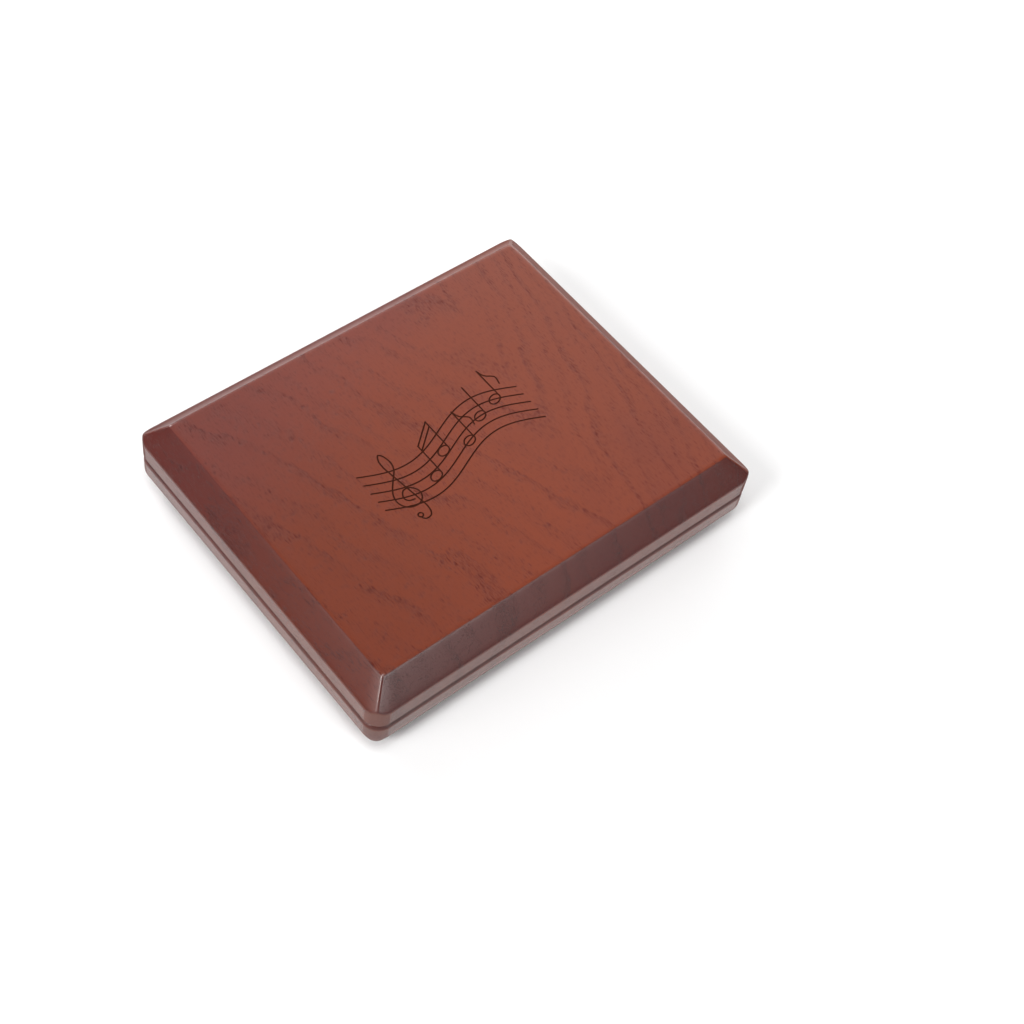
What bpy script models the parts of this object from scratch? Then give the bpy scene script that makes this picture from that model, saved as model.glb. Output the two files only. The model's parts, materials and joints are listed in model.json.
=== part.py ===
"""A flat hinged wooden case that keeps thin reeds in two matching halves.

The case lies closed on its underside. X runs along its long side, +Y points
to the hinges, +Z is up, and the origin is the middle of the underside.
Heights inside a half are depths, counted from the plane where the halves meet.
"""
import math

import bmesh
import bpy
from mathutils import Vector

# Case, outside
case_length = 0.120
case_depth = 0.098
case_height = 0.025
corner_radius = 0.0045
bevel_width = 0.006
bevel_height = 0.0064
lip_radius = 0.0013
parting_gap = 0.0003

# Case, inside
wall = 0.008
clip_headroom = 0.0018
cavity_radius = 0.0035
mouth_chamfer = 0.0005

# Clearances and cuts
seat_gap = 0.0003
running_gap = 0.0001
overrun = 0.001
same_place = 0.000001

# Flocked lining
lining_thickness = 0.0007
lining_drop = 0.0009

# Grooved board that carries the reeds
lane_count = 5
lane_depth = 0.0028
board_floor = 0.0015
board_radius = 0.0025
shoulder_width = 0.0066
rib_width = 0.0018
back_stop = 0.0024
front_stop = 0.0020
finger_bay = 0.0095

# Ribbon over the reeds and its end clips
ribbon_width = 0.0110
ribbon_thickness = 0.0005
ribbon_from_front = 0.0230
ribbon_tuck = 0.0006
clip_width = 0.0048
clip_foot = 0.0036
clip_thickness = 0.0006

# Hinges
hinge_from_end = 0.0250
hinge_length = 0.0220
axis_outset = 0.0002
knuckle_radius = 0.0016
knuckle_count = 5
pin_radius = 0.00075
pin_proud = 0.0004
pin_chamfer = 0.0002
leaf_width = 0.0040
leaf_thickness = 0.0008
leaf_sink = 0.00005
hinge_screw_from_end = 0.0045

# Screws
screw_head_radius = 0.0012
screw_head_height = 0.0005
screw_shank_radius = 0.0006
hinge_screw_length = 0.0050
clip_screw_length = 0.0036
screw_tip_length = 0.0006
screw_tip_radius = 0.0003

# Magnets
magnet_radius = 0.0020
magnet_thickness = 0.0020
magnet_from_end = 0.0100

# Round stretches, in steps
corner_steps = 8
lip_steps = 4
knuckle_steps = 20
screw_steps = 12
magnet_steps = 24

# Linear colours
wood_colour = (0.254, 0.063, 0.041)
board_colour = (0.330, 0.150, 0.070)
lining_colour = (0.020, 0.018, 0.020)
ribbon_colour = (0.150, 0.012, 0.016)
brass_colour = (0.640, 0.430, 0.170)
nickel_colour = (0.620, 0.600, 0.570)

# Worked out from the sizes above
half_height = case_height / 2
cavity_length = case_length - 2 * wall
cavity_width = case_depth - 2 * wall
ribbon_top = clip_headroom + clip_thickness + seat_gap
ribbon_bottom = ribbon_top + ribbon_thickness
board_top = ribbon_bottom + seat_gap
lane_floor = board_top + lane_depth
board_bottom = lane_floor + board_floor
lining_top = board_bottom + seat_gap
lining_bottom = lining_top + lining_thickness
cavity_floor = lining_bottom + seat_gap
lining_length = cavity_length - 2 * seat_gap
lining_width = cavity_width - 2 * seat_gap
board_inset = lining_thickness + seat_gap
board_length = lining_length - 2 * board_inset
board_width = lining_width - 2 * board_inset
lanes_length = board_length - 2 * shoulder_width
lane_width = (lanes_length - (lane_count - 1) * rib_width) / lane_count
ribbon_y = ribbon_from_front - board_width / 2
clip_x = (board_length - shoulder_width) / 2
clip_reach = ribbon_width / 2 + seat_gap
clip_step = ribbon_thickness + seat_gap
ribbon_length = 2 * clip_x + clip_width - 2 * ribbon_tuck
hinge_y = case_depth / 2 + axis_outset
hinge_x = case_length / 2 - hinge_from_end
notch_radius = knuckle_radius + seat_gap
leaf_face = parting_gap / 2 + leaf_sink
leaf_back = hinge_y - notch_radius
leaf_screw_x = hinge_length / 2 - hinge_screw_from_end
leaf_screw_y = leaf_back - leaf_width / 2
magnet_x = case_length / 2 - magnet_from_end
magnet_y = (wall + lip_radius - case_depth) / 2 - mouth_chamfer / 2

# Which way a half extends from the plane where the halves meet
half_signs = {"base": -1, "lid": 1}
end_signs = {"left": -1, "right": 1}
side_signs = {"front": -1, "rear": 1}
quarter_signs = ((1, 1), (-1, 1), (-1, -1), (1, -1))

# The angle, in radians, past which an edge is shaded as a real edge
sharp_angle = math.radians(35)


def clear_scene():
    """Remove whatever the opened scene holds."""
    for item in list(bpy.data.objects):
        bpy.data.objects.remove(item, do_unlink=True)


def make_material(name, colour, roughness, metallic):
    """One Principled material with a linear colour."""
    material = bpy.data.materials.new(name)
    material.use_nodes = True
    shader = material.node_tree.nodes["Principled BSDF"]
    shader.inputs["Base Color"].default_value = (*colour, 1)
    shader.inputs["Roughness"].default_value = roughness
    shader.inputs["Metallic"].default_value = metallic
    material.diffuse_color = (*colour, 1)
    return material


def add_empty(name, place):
    """A frame for pieces that move together."""
    empty = bpy.data.objects.new(name, None)
    empty.location = place
    bpy.context.scene.collection.objects.link(empty)
    return empty


def add_object(name, shape, material, parent, place):
    """Turn a bmesh into a named object at a place given in the case's frame."""
    bmesh.ops.recalc_face_normals(shape, faces=shape.faces)
    mesh = bpy.data.meshes.new(name)
    shape.to_mesh(mesh)
    shape.free()
    item = bpy.data.objects.new(name, mesh)
    bpy.context.scene.collection.objects.link(item)
    item.parent = parent
    item.location = Vector(place) - parent.location
    if material:
        mesh.materials.append(material)
    return item


def add_cutter(name, shape, parent, place):
    """A guide body that only shapes its neighbours."""
    cutter = add_object(name, shape, None, parent, place)
    cutter.hide_render = True
    cutter.display_type = "WIRE"
    return cutter


def combine(target, tool, operation):
    """Apply one body to another with an exact Boolean."""
    change = target.modifiers.new(tool.name, "BOOLEAN")
    change.operation = operation
    change.object = tool
    change.solver = "EXACT"


def smooth(item):
    """Shade round stretches smooth and keep real edges sharp."""
    item.data.shade_smooth()
    item.data.set_sharp_from_angle(angle=sharp_angle)


def bridge(shape, rings):
    """Skin a stack of rings and close both ends."""
    loops = [[shape.verts.new(point) for point in ring] for ring in rings]
    for lower, upper in zip(loops, loops[1:]):
        for i, corner in enumerate(lower):
            follower = (i + 1) % len(lower)
            shape.faces.new((corner, lower[follower], upper[follower], upper[i]))
    shape.faces.new(loops[0])
    shape.faces.new(loops[-1])


def rectangle(half_x, half_y, radius, inset):
    """Outline of a rectangle drawn in by an inset, with round corners if it has a radius."""
    if radius == 0:
        return [(sx * (half_x - inset), sy * (half_y - inset)) for sx, sy in quarter_signs]
    points = []
    for quarter, (sx, sy) in enumerate(quarter_signs):
        for step in range(corner_steps + 1):
            turn = math.pi / 2 * (quarter + step / corner_steps)
            x = sx * (half_x - radius) + (radius - inset) * math.cos(turn)
            y = sy * (half_y - radius) + (radius - inset) * math.sin(turn)
            points.append((x, y))
    return points


def slab(half_x, half_y, radius, profile, sign):
    """Upright body over a rectangle; the profile lists insets and depths."""
    shape = bmesh.new()
    rings = []
    for inset, depth in profile:
        outline = rectangle(half_x, half_y, radius, inset)
        rings.append([(x, y, sign * depth) for x, y in outline])
    bridge(shape, rings)
    return shape


def prism(outline, low, high, sign):
    """Extrude a flat outline between two depths."""
    shape = bmesh.new()
    rings = [[(x, y, sign * depth) for x, y in outline] for depth in (low, high)]
    bridge(shape, rings)
    return shape


def circle(radius, steps):
    """Points of a circle that has flats on its four sides."""
    turns = [2 * math.pi * (step + 1 / 2) / steps for step in range(steps)]
    return [(radius * math.cos(turn), radius * math.sin(turn)) for turn in turns]


def turned(profile, steps, places, sign):
    """Round bodies about upright axes at several places; the profile lists radii and depths."""
    shape = bmesh.new()
    for place_x, place_y in places:
        rings = []
        for radius, depth in profile:
            ring = circle(radius, steps)
            rings.append([(place_x + x, place_y + y, sign * depth) for x, y in ring])
        bridge(shape, rings)
    return shape


def rods(radius, spans, steps, chamfer=0):
    """Round bodies along X over several spans, with a chamfer at both ends if one is given."""
    shape = bmesh.new()
    for start, end in spans:
        stations = [(start, radius), (end, radius)]
        if chamfer:
            stations = [
                (start, radius - chamfer),
                (start + chamfer, radius),
                (end - chamfer, radius),
                (end, radius - chamfer),
            ]
        bridge(shape, [[(x, y, z) for y, z in circle(reach, steps)] for x, reach in stations])
    return shape


def comb(end_x, front, root, tip, teeth):
    """Outline of a bar from front to root, with teeth that reach on to the tip.

    Where a tooth is level with the bar's end, its corner is the bar's own.
    """
    points = [(-end_x, root), (-end_x, front), (end_x, front), (end_x, root)]
    for left, right in reversed(teeth):
        points += [(right, root), (right, tip), (left, tip), (left, root)]
    return [point for i, point in enumerate(points) if math.dist(point, points[i - 1]) > same_place]


def lip_profile():
    """Insets and depths up the outside of a half, from its rounded lip to past its panel."""
    profile = []
    for step in range(lip_steps + 1):
        turn = math.pi / 2 * step / lip_steps
        inset = lip_radius * (1 - math.sin(turn))
        depth = parting_gap / 2 + lip_radius * (1 - math.cos(turn))
        profile.append((inset, depth))
    profile.append((0, half_height + overrun))
    return profile


def hip_profile():
    """Insets and depths of the four bevel planes, carried on past the rim on their own slope."""
    outer_depth = half_height - bevel_height * (1 + overrun / bevel_width)
    return [(-overrun, -overrun), (-overrun, outer_depth), (bevel_width, half_height)]


def knuckle_spans(first):
    """Stretches of the barrel that belong to one leaf, counted from a first knuckle."""
    pitch = hinge_length / knuckle_count
    spans = []
    for i in range(first, knuckle_count, 2):
        start = i * pitch - hinge_length / 2 + seat_gap / 2
        spans.append((start, start + pitch - seat_gap))
    return spans


def hinge_screw_places():
    """Where a leaf's screws go, from the middle of the case's length."""
    places = []
    for end in end_signs.values():
        for side in end_signs.values():
            places.append((end * hinge_x + side * leaf_screw_x, leaf_screw_y))
    return places


def clip_screw_places():
    """Where the screws of both ribbon clips go."""
    reach = clip_reach + clip_thickness + clip_foot / 2
    places = []
    for end in end_signs.values():
        for side in end_signs.values():
            places.append((end * clip_x, ribbon_y + side * reach))
    return places


def build_shell(half, material, parent, middle):
    """Wooden half with bevelled panel, rounded lip, cavity, hinge seats and magnet bores."""
    sign = half_signs[half]
    outside = slab(case_length / 2, case_depth / 2, corner_radius, lip_profile(), sign)
    shell = add_object(f"{half}_shell", outside, material, parent, middle)
    hips = slab(case_length / 2, case_depth / 2, 0, hip_profile(), sign)
    combine(shell, add_cutter(f"{half}_hips", hips, parent, middle), "INTERSECT")
    mouth = parting_gap / 2
    profile = [
        (-mouth_chamfer - overrun, mouth - overrun),
        (-mouth_chamfer, mouth),
        (0, mouth + mouth_chamfer),
        (0, cavity_floor),
    ]
    cavity = slab(cavity_length / 2, cavity_width / 2, cavity_radius, profile, sign)
    combine(shell, add_cutter(f"{half}_cavity", cavity, parent, middle), "DIFFERENCE")
    cut_hinge_seats(shell, half, parent, middle)
    bore_profile = [
        (magnet_radius + seat_gap, -overrun),
        (magnet_radius + seat_gap, leaf_face + magnet_thickness + seat_gap),
    ]
    places = [(end * magnet_x, magnet_y) for end in end_signs.values()]
    bores = turned(bore_profile, magnet_steps, places, sign)
    combine(shell, add_cutter(f"{half}_magnet_bores", bores, parent, middle), "DIFFERENCE")
    smooth(shell)
    return shell


def cut_hinge_seats(shell, half, parent, middle):
    """Mortises for the leaves, a round notch for the barrels and pilot holes for the screws."""
    sign = half_signs[half]
    seats = bmesh.new()
    front = leaf_back - leaf_width - seat_gap
    back = hinge_y + overrun
    floor = leaf_face + leaf_thickness + seat_gap
    for end in end_signs.values():
        left = end * hinge_x - hinge_length / 2 - seat_gap
        right = end * hinge_x + hinge_length / 2 + seat_gap
        outline = ((left, front), (right, front), (right, back), (left, back))
        rings = [[(x, y, sign * depth) for x, y in outline] for depth in (-overrun, floor)]
        bridge(seats, rings)
    combine(shell, add_cutter(f"{half}_leaf_seats", seats, parent, middle), "DIFFERENCE")
    reach = hinge_length / 2 + pin_proud + seat_gap
    spans = [(end * hinge_x - reach, end * hinge_x + reach) for end in end_signs.values()]
    notches = rods(notch_radius, spans, knuckle_steps)
    axis = Vector(middle) + Vector((0, hinge_y, 0))
    combine(shell, add_cutter(f"{half}_barrel_notches", notches, parent, axis), "DIFFERENCE")
    pilot_radius = screw_shank_radius + seat_gap
    pilot_profile = [(pilot_radius, 0), (pilot_radius, leaf_face + hinge_screw_length + seat_gap)]
    pilots = turned(pilot_profile, screw_steps, hinge_screw_places(), sign)
    combine(shell, add_cutter(f"{half}_leaf_pilots", pilots, parent, middle), "DIFFERENCE")


def build_lining(half, material, parent, middle):
    """Thin flocked tray that lines the cavity's floor and sides."""
    sign = half_signs[half]
    radius = cavity_radius - seat_gap
    profile = [(0, lining_drop), (0, lining_bottom)]
    tray = slab(lining_length / 2, lining_width / 2, radius, profile, sign)
    lining = add_object(f"{half}_lining", tray, material, parent, middle)
    profile = [(lining_thickness, lining_drop - overrun), (lining_thickness, lining_top)]
    hollow = slab(lining_length / 2, lining_width / 2, radius, profile, sign)
    combine(lining, add_cutter(f"{half}_lining_hollow", hollow, parent, middle), "DIFFERENCE")
    smooth(lining)
    return lining


def build_reed_board(half, material, parent, middle):
    """Board with one lane for each reed, open to a finger bay along the front."""
    sign = half_signs[half]
    profile = [(0, board_top), (0, board_bottom)]
    plate = slab(board_length / 2, board_width / 2, board_radius, profile, sign)
    board = add_object(f"{half}_reed_board", plate, material, parent, middle)
    pitch = lane_width + rib_width
    lanes = []
    for i in range(lane_count):
        left = i * pitch - lanes_length / 2
        lanes.append((left, left + lane_width))
    front = front_stop - board_width / 2
    outline = comb(lanes_length / 2, front, front + finger_bay, board_width / 2 - back_stop, lanes)
    lane_cut = prism(outline, board_top - overrun, lane_floor, sign)
    combine(board, add_cutter(f"{half}_lane_cut", lane_cut, parent, middle), "DIFFERENCE")
    pilot_radius = screw_shank_radius + seat_gap
    pilot_floor = ribbon_bottom - clip_thickness + clip_screw_length + seat_gap
    pilot_profile = [(pilot_radius, board_top - overrun), (pilot_radius, pilot_floor)]
    pilots = turned(pilot_profile, screw_steps, clip_screw_places(), sign)
    combine(board, add_cutter(f"{half}_clip_pilots", pilots, parent, middle), "DIFFERENCE")
    smooth(board)
    return board


def build_ribbon(half, material, parent, middle):
    """Elastic ribbon stretched over the lanes, with its ends under the clips."""
    sign = half_signs[half]
    profile = [(0, ribbon_bottom), (0, ribbon_top)]
    band = slab(ribbon_length / 2, ribbon_width / 2, 0, profile, sign)
    place = Vector(middle) + Vector((0, ribbon_y, 0))
    return add_object(f"{half}_ribbon", band, material, parent, place)


def build_clip(half, end, material, parent, middle):
    """Brass clip bent over the ribbon's end, with a foot on each side of it."""
    sign = half_signs[half]
    low = ribbon_bottom
    high = low - clip_step
    foot = clip_reach + clip_thickness + clip_foot
    rise = clip_reach + clip_thickness
    outline = [
        (-foot, low),
        (-clip_reach, low),
        (-clip_reach, high),
        (clip_reach, high),
        (clip_reach, low),
        (foot, low),
        (foot, low - clip_thickness),
        (rise, low - clip_thickness),
        (rise, high - clip_thickness),
        (-rise, high - clip_thickness),
        (-rise, low - clip_thickness),
        (-foot, low - clip_thickness),
    ]
    shape = bmesh.new()
    rings = [[(x, y, sign * depth) for y, depth in outline] for x in (-clip_width / 2, clip_width / 2)]
    bridge(shape, rings)
    place = Vector(middle) + Vector((end_signs[end] * clip_x, ribbon_y, 0))
    clip = add_object(f"{half}_clip_{end}", shape, material, parent, place)
    face = low - clip_thickness
    reach = rise + clip_foot / 2
    cut_screw_seats(clip, [(0, -reach), (0, reach)], face, sign, parent, place)
    for side, side_sign in side_signs.items():
        screw_place = place + Vector((0, side_sign * reach, 0))
        screw_name = f"{half}_clip_{end}_screw_{side}"
        build_screw(screw_name, face, clip_screw_length, sign, material, parent, screw_place)
    return clip


def cut_screw_seats(item, places, face, sign, parent, place):
    """Countersunk holes from a face, for screws whose heads lie level with it."""
    head = screw_head_radius + seat_gap
    shank = screw_shank_radius + seat_gap
    slope = screw_head_height / (screw_head_radius - screw_shank_radius)
    profile = [
        (head + overrun, face - overrun * slope),
        (shank, face + (head - shank) * slope),
        (shank, face + screw_head_height + overrun),
    ]
    seats = turned(profile, screw_steps, places, sign)
    combine(item, add_cutter(f"{item.name}_screw_seats", seats, parent, place), "DIFFERENCE")


def build_screw(name, face, length, sign, material, parent, place):
    """Countersunk screw whose head is level with a face."""
    profile = [
        (screw_head_radius, face),
        (screw_shank_radius, face + screw_head_height),
        (screw_shank_radius, face + length - screw_tip_length),
        (screw_tip_radius, face + length),
    ]
    screw = add_object(name, turned(profile, screw_steps, [(0, 0)], sign), material, parent, place)
    smooth(screw)
    return screw


def build_magnet(half, end, material, parent, middle):
    """Disc magnet level with the face where the halves meet."""
    profile = [(magnet_radius, leaf_face), (magnet_radius, leaf_face + magnet_thickness)]
    shape = turned(profile, magnet_steps, [(0, 0)], half_signs[half])
    place = Vector(middle) + Vector((end_signs[end] * magnet_x, magnet_y, 0))
    magnet = add_object(f"{half}_magnet_{end}", shape, material, parent, place)
    smooth(magnet)
    return magnet


def build_hinge_leaf(half, end, first, material, parent, middle):
    """Brass leaf in its mortise, with its share of the barrel's knuckles."""
    sign = half_signs[half]
    spans = knuckle_spans(first)
    name = f"hinge_{end}_{half}_leaf"
    end_x = (hinge_length - seat_gap) / 2
    outline = comb(end_x, -notch_radius - leaf_width, -notch_radius, 0, spans)
    plate = prism(outline, leaf_face, leaf_face + leaf_thickness, sign)
    place = Vector(middle) + Vector((end_signs[end] * hinge_x, hinge_y, 0))
    leaf = add_object(name, plate, material, parent, place)
    knuckles = rods(knuckle_radius, spans, knuckle_steps)
    combine(leaf, add_cutter(f"{name}_knuckles", knuckles, parent, place), "UNION")
    bore_reach = hinge_length / 2 + overrun
    bore = rods(pin_radius + running_gap, [(-bore_reach, bore_reach)], knuckle_steps)
    combine(leaf, add_cutter(f"{name}_bore", bore, parent, place), "DIFFERENCE")
    screw_y = leaf_screw_y - hinge_y
    places = [(side * leaf_screw_x, screw_y) for side in end_signs.values()]
    cut_screw_seats(leaf, places, leaf_face, sign, parent, place)
    smooth(leaf)
    for side, (screw_x, screw_y) in zip(end_signs, places):
        screw_place = place + Vector((screw_x, screw_y, 0))
        screw_name = f"hinge_{end}_{half}_screw_{side}"
        build_screw(screw_name, leaf_face, hinge_screw_length, sign, material, parent, screw_place)
    return leaf


def build_hinge_pin(end, material, parent, middle):
    """Pin through all knuckles of one hinge."""
    reach = hinge_length / 2 + pin_proud
    shape = rods(pin_radius, [(-reach, reach)], knuckle_steps, pin_chamfer)
    place = Vector(middle) + Vector((end_signs[end] * hinge_x, hinge_y, 0))
    pin = add_object(f"hinge_{end}_pin", shape, material, parent, place)
    smooth(pin)
    return pin


def build_half(half, parent, middle, materials):
    """Every piece that belongs to one half of the case."""
    build_shell(half, materials["wood"], parent, middle)
    build_lining(half, materials["lining"], parent, middle)
    build_reed_board(half, materials["board"], parent, middle)
    build_ribbon(half, materials["ribbon"], parent, middle)
    first_knuckle = {"base": 0, "lid": 1}[half]
    for end in end_signs:
        build_clip(half, end, materials["brass"], parent, middle)
        build_magnet(half, end, materials["nickel"], parent, middle)
        build_hinge_leaf(half, end, first_knuckle, materials["brass"], parent, middle)


def build_case():
    """The whole case, closed and lying on its underside."""
    clear_scene()
    materials = {
        "wood": make_material("stained_wood", wood_colour, 0.35, 0),
        "board": make_material("board_wood", board_colour, 0.5, 0),
        "lining": make_material("flock", lining_colour, 0.95, 0),
        "ribbon": make_material("satin_ribbon", ribbon_colour, 0.6, 0),
        "brass": make_material("brass", brass_colour, 0.3, 1),
        "nickel": make_material("nickel", nickel_colour, 0.25, 1),
    }
    middle = (0, 0, half_height)
    base_frame = add_empty("base_frame", (0, 0, 0))
    lid_axis = add_empty("lid_hinge_axis", (0, hinge_y, half_height))
    build_half("base", base_frame, middle, materials)
    build_half("lid", lid_axis, middle, materials)
    for end in end_signs:
        build_hinge_pin(end, materials["brass"], base_frame, middle)


build_case()
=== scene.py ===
import json
import math

import bmesh
import bpy
import numpy as np
from mathutils import Matrix, Vector


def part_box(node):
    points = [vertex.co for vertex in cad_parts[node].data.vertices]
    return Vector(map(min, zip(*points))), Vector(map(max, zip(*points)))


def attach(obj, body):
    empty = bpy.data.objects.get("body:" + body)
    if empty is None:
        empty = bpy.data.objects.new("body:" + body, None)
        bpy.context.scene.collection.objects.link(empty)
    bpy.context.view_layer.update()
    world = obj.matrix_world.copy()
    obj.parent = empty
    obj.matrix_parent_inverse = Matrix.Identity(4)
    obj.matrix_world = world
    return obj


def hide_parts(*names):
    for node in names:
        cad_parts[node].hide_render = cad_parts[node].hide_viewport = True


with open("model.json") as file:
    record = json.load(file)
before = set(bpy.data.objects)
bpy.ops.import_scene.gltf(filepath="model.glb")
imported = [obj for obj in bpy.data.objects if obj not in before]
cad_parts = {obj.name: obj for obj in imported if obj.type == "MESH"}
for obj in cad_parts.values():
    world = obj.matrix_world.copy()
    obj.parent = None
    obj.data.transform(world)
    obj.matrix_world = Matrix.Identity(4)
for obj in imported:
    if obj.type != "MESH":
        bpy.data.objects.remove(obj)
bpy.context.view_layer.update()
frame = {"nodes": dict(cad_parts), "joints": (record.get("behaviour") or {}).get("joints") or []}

# Sizes read from the frame, in metres
lid_low, lid_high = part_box("lid_shell")
hinge_axis = Vector(frame["joints"][0]["pos_m"])
case_length = lid_high[0] - lid_low[0]
case_depth = lid_high[1] - lid_low[1]
half_height = hinge_axis.z

# Outside of a half, as in the part
corner_radius = 0.0045
bevel_width = 0.006
bevel_height = 0.0064
visual_gap = 0.00006

# Softness of the sanded edges
lip_radius = 0.0013
ridge_blend = 0.00034
hip_blends = {"base": 0.0014, "lid": 0.00046}
rim_blends = {"base": 0.0012, "lid": 0.00028}
hip_shoulder = 0.0034
shoulder_share = 0.16
bevel_crown = 0.00004
ridge_ease = 0.00005
ridge_ease_width = 0.0010
rim_ease = 0.00005
rim_ease_width = 0.0018

# How the outside is sampled
ray_square = 0.010
corner_samples = 20
corner_crowding = 2.1
side_samples = 6
lip_samples = 7
wall_samples = 12
bevel_samples = 18
flat_samples = 4
flat_margin = 0.0014
crowding = 2.5
settle_rounds = 6

# Inside of a half, as in the part
wall = 0.008
cavity_radius = 0.0035
mouth_round = 0.0005
seat_gap = 0.0003
overrun = 0.001
hair = 0.00001

# Lining
lining_thickness = 0.0007
lining_radius = cavity_radius - seat_gap
lining_wobble = 0.00007
lining_waves = (17, 310, 470)
lining_pitch = 0.0012
lining_steps = 8
long_steps = 40

# Board
board_radius = 0.0025
board_edge = 0.0003
lane_count = 5
lane_depth = 0.0028
shoulder_width = 0.0066
rib_width = 0.0018
back_stop = 0.0024
front_stop = 0.0020
finger_bay = 0.0095
lane_edge = 0.00035
lane_fillet = 0.0006
lane_corner = 0.0012
rib_nose = 0.00085

# Ribbon and clips
ribbon_rib = 0.0008
ribbon_rib_rise = 0.00003
ribbon_rib_samples = 6
selvedge = 0.0007
selvedge_rise = 0.00005
selvedge_steps = 9
flat_shares = (1, 0.8, 0.4, 0, -0.4, -0.8, -1)
scallop = 0.00006
clip_foot = 0.0036
clip_thickness = 0.0006
clip_bend = 0.00025
clip_bend_share = 0.9
clip_corner = 0.0009
metal_edge = 0.00009

# Hinges
knuckle_radius = 0.00158
knuckle_count = 5
leaf_width = 0.0040
leaf_thickness = 0.0008
leaf_corner = 0.0007
knuckle_edge = 0.00016
seat_play = 0.00012
pin_dome = 0.6

# Screws and magnets
screw_head_radius = 0.0012
screw_shank_radius = 0.0006
screw_head_height = 0.0005
screw_dome = 0.00014
dome_shares = (0.06, 0.35, 0.6, 0.8, 0.92)
screw_tip_length = 0.0006
slot_width = 0.00032
slot_depth = 0.00032
driver_turn = 37
magnet_edge = 0.00018
magnet_play = 0.00008

# Round stretches, in steps
fine_steps = 32
screw_steps = 40
magnet_steps = 48

half_signs = {"base": -1, "lid": 1}
end_signs = {"left": -1, "right": 1}


def link(name, mesh, *paints):
    """Put a mesh in the scene as a named piece with its materials."""
    piece = bpy.data.objects.new(name, mesh)
    for paint in paints:
        mesh.materials.append(paint)
    bpy.context.scene.collection.objects.link(piece)
    return piece


def mesh_from(shape):
    """Turn a bmesh into a mesh with its faces out."""
    bmesh.ops.recalc_face_normals(shape, faces=shape.faces)
    mesh = bpy.data.meshes.new("body")
    shape.to_mesh(mesh)
    shape.free()
    return mesh


def bridge(shape, rings, circular=False):
    """Skin a row of closed rings, and join its two ends if it is circular, else close both."""
    loops = [[shape.verts.new(point) for point in ring] for ring in rings]
    followers = loops[1:] + loops[:1] if circular else loops[1:]
    for lower, upper in zip(loops, followers):
        for i, corner in enumerate(lower):
            follower = (i + 1) % len(lower)
            shape.faces.new((corner, lower[follower], upper[follower], upper[i]))
    if not circular:
        shape.faces.new(loops[0])
        shape.faces.new(loops[-1])


def body(rings, circular=False):
    """Closed mesh over a row of rings."""
    shape = bmesh.new()
    bridge(shape, rings, circular)
    return mesh_from(shape)


def combine(piece, tool_mesh, operation):
    """Apply one closed mesh to a piece."""
    tool = link("tool", tool_mesh)
    change = piece.modifiers.new("combine", "BOOLEAN")
    change.object = tool
    change.operation = operation
    change.solver = "EXACT"
    apply_modifiers(piece)
    bpy.data.objects.remove(tool)
    bpy.data.meshes.remove(tool_mesh)


def cut(piece, tool_mesh, slot=0):
    """Take a closed mesh away from a piece; the cut faces get the piece's material of that slot."""
    for face in tool_mesh.polygons:
        face.material_index = slot
    combine(piece, tool_mesh, "DIFFERENCE")


def apply_modifiers(piece):
    """Keep the evaluated shape as the piece's own mesh."""
    bpy.context.view_layer.update()
    evaluated = piece.evaluated_get(bpy.context.evaluated_depsgraph_get())
    mesh = bpy.data.meshes.new_from_object(evaluated)
    old = piece.data
    piece.modifiers.clear()
    piece.data = mesh
    mesh.name = piece.name
    bpy.data.meshes.remove(old)


def shade(piece, angle):
    """Smooth shading with real edges kept, and flat faces kept flat up to their rounded edges."""
    piece.data.shade_smooth()
    piece.data.set_sharp_from_angle(angle=math.radians(angle))
    weigh = piece.modifiers.new("weigh", "WEIGHTED_NORMAL")
    weigh.keep_sharp = True
    weigh.weight = 80


# Outside of a half

def rounded_limit(first, second, blend):
    """The larger of two distances, rounded off where they are alike."""
    near = np.maximum(blend - np.abs(first - second), 0)
    return np.maximum(first, second) + near * near / (4 * blend)


def outside_distance(points, half):
    """Signed distance to the sanded outside of a half; the third coordinate is depth from the lip."""
    x = np.abs(points[:, 0])
    y = np.abs(points[:, 1])
    depth = points[:, 2]
    half_x = case_length / 2
    half_y = case_depth / 2
    out_x = x - half_x + corner_radius
    out_y = y - half_y + corner_radius
    beyond = np.hypot(np.maximum(out_x, 0), np.maximum(out_y, 0))
    prism = beyond + np.minimum(np.maximum(out_x, out_y), 0) - corner_radius
    slope_length = math.hypot(bevel_width, bevel_height)
    over_rim = (depth - half_height + bevel_height) * bevel_width
    down = np.clip((half_height - depth) / bevel_height, 0, 1)
    crown = 4 * bevel_crown * down * (1 - down)
    crown = crown - ridge_ease * np.maximum(1 - down * slope_length / ridge_ease_width, 0) ** 2
    crown = crown - rim_ease * np.maximum(1 - (1 - down) * slope_length / rim_ease_width, 0) ** 2
    bevel_x = ((x - half_x) * bevel_height + over_rim) / slope_length - crown
    bevel_y = ((y - half_y) * bevel_height + over_rim) / slope_length - crown
    shoulder = np.maximum(hip_shoulder - np.abs(bevel_x - bevel_y), 0)
    bevels = rounded_limit(bevel_x, bevel_y, hip_blends[half])
    bevels = bevels + shoulder_share * shoulder * shoulder / (4 * hip_shoulder)
    sides = rounded_limit(bevels, prism, rim_blends[half])
    return rounded_limit(sides, depth - half_height, ridge_blend)


def settle(points, half):
    """Move points along the slope of the distance until they lie on the sanded outside."""
    step = seat_gap / 100
    for _ in range(settle_rounds):
        value = outside_distance(points, half)
        slope = np.empty_like(points)
        for axis in range(3):
            shift = np.zeros(3)
            shift[axis] = step
            ahead = outside_distance(points + shift, half)
            behind = outside_distance(points - shift, half)
            slope[:, axis] = (ahead - behind) / (2 * step)
        points = points - slope * (value / (slope * slope).sum(1))[:, None]
    return points


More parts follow.
